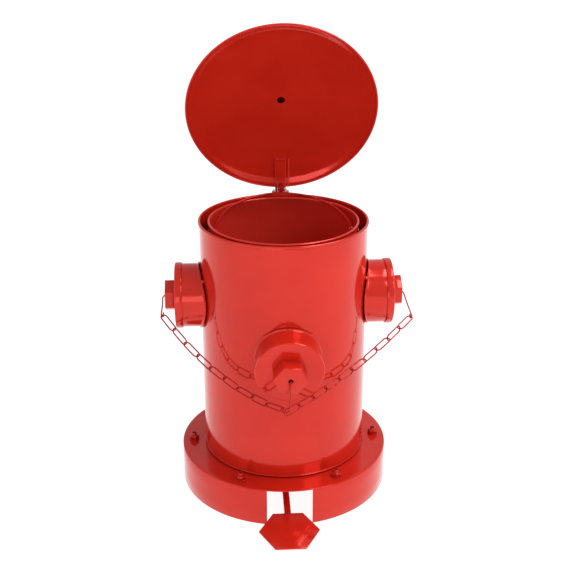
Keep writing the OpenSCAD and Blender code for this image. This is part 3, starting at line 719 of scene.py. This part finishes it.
def shoulder(radius):
    """Height of the sheet over a plain sphere: most at the shoulder, none at knob and rim."""
    if radius < shoulder_r:
        rise = max(radius - knob_seat_r, 0) / (shoulder_r - knob_seat_r)
    else:
        rise = max(lid_edge_ring - radius, 0) / (lid_edge_ring - shoulder_r)
    return shoulder_h * rise * rise * (3 - 2 * rise)


def dome(radius):
    """Height of the lid sheet's middle over the middle of its rolled edge."""
    sphere = math.sqrt(dome_r ** 2 - radius ** 2) - math.sqrt(dome_r ** 2 - lid_edge_ring ** 2)
    return sphere + lid_edge_r - lid_sheet / 2 + shoulder(radius)


# The roll is a hair slack, so that the finished edge stays inside the part's
# own box.
lid_slack = 0.05
roll = lid_edge_r - lid_sheet / 2 - lid_slack
lid_outline = [(lid_edge_ring + roll * math.cos(math.radians(a)),
                edge_middle + roll * math.sin(math.radians(a)))
               for a in (-175, -140, -100, -60, -20, 20, 55)]
dome_rings = (148.2, 147, 145.5, 144, 142, 140, 138, 136, 134, 132, 129, 126, 122, 115, 106, 96,
              86, 76, 66, 56, 46, 37, 28, 20, 13, 8, lid_hole_r + 0.2)
lid_outline += [(r, edge_middle + dome(r)) for r in dome_rings]
lid = turned("lid_pressing", lid_outline, steps=256)
sheet_metal(lid, lid_sheet, 0.2)
lid.data.transform(opened)
finished(lid, lid_paint, "lid", "red_paint", "lid_dome", smooth=45)

# The strap was bent to the dome's shoulder before it was welded on, so it
# follows the sheet, with a run of weld down each side.
strap = smoothed("lid_strap", lid_paint, "lid", "red_paint", edge=0.7)
strap.data.transform(shut)
alone(strap)
bpy.ops.object.mode_set(mode="EDIT")
for station in range(106, 149, 3):
    bpy.ops.mesh.select_all(action="SELECT")
    bpy.ops.mesh.bisect(plane_co=(0, station * MM, 0), plane_no=(0, 1, 0))
bpy.ops.object.mode_set(mode="OBJECT")
for vertex in strap.data.vertices:
    vertex.co.z += shoulder(min(vertex.co.y / MM, lid_edge_ring)) * MM
strap.data.transform(opened)
weld_from, weld_to = 105, 147
strap_welds = []
for strap_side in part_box("lid_strap"):
    run = weld_run("strap_weld", weld_from, weld_to, 3.6)
    run.data.transform(Matrix.Translation((strap_side.x, 0, 0))
                       @ Matrix.Rotation(math.radians(-90), 4, "X"))
    for vertex in run.data.vertices:
        vertex.co.z += (edge_middle + dome(vertex.co.y / MM) - lid_sheet / 2) * MM
    run.data.transform(opened)
    strap_welds.append(run)
strap_weld = joined(*strap_welds)
strap_weld.name = "strap_weld"
finished(strap_weld, lid_paint, "lid", "red_paint", smooth=60)
smoothed("lid_crank", lid_paint, "lid", "red_paint")
smoothed("crank_pin", plain_steel, "lid", "plain_steel", edge=0.2)
smoothed("lid_knob", lid_paint, "lid", "red_paint", edge=0.7)

# ---- Push rod ----
# A round rod behind the shell with a slotted head round the crank pin and a
# foot on the lever. Two short guides on the shell keep it upright.
smoothed("push_rod", bolt_paint_painted_shade, "rod", "red_paint", edge=0.4)
smoothed("rod_foot", bolt_paint_painted_shade, "rod", "red_paint", edge=0.4)
smoothed("rod_guides", shell_paint, "base", "red_paint", edge=0.4)

# ---- Pedal ----
# A channel lever runs under the drum to the push rod. It pivots on a pin in a
# bracket, and a flat hexagonal plate on its front end takes the shoe.
smoothed("lever_bracket", drum_paint, "base", "red_paint", edge=0.4)
smoothed("lever_pin", plain_steel, "base", "plain_steel")
smoothed("lever_arm", drum_paint, "lever", "red_paint", edge=0.4)
smoothed("lever_pad", drum_paint, "lever", "red_paint")
smoothed("pedal_plate", drum_paint, "lever", "red_paint", edge=0.5)

# ---- Bucket ----
# The lift-out bucket is a rolled sheet with a rolled rim, a floor let in above
# its foot, and a wire bail that folds to the back on two riveted ears.
bucket_low, bucket_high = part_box("bucket_wall")
bucket_bead_r = 2.0
bucket_wall_r = bucket_high.x / MM - bucket_bead_r
bucket_middle = bucket_high.z / MM - bucket_bead_r
bucket_outline = [(bucket_wall_r, bucket_low.z / MM + step)
                  for step in (0, 2, 6, 20, 60, 120, 180, 240, 300, 330)]
bucket_outline += [(bucket_wall_r, bucket_middle - 4)]
bucket_outline += rolled_rim(bucket_wall_r, bucket_middle, bucket_bead_r - shell_sheet / 2)
bucket = turned("bucket_sheet", bucket_outline, steps=300)
sheet_metal(bucket, shell_sheet, 0.2)
finished(bucket, inner_paint_painted_light, "bucket", "red_paint", "bucket_wall")
smoothed("bucket_floor", inner_paint_painted_light, "bucket", "red_paint", edge=0.2)
smoothed("bucket_ears", inner_paint_painted_light, "bucket", "red_paint")
smoothed("ear_rivets", plain_steel, "bucket", "plain_steel", edge=0.4)
smoothed("bail_handle", wire_paint_painted_shade, "bail", "painted_wire", edge=0.2, smooth=50)
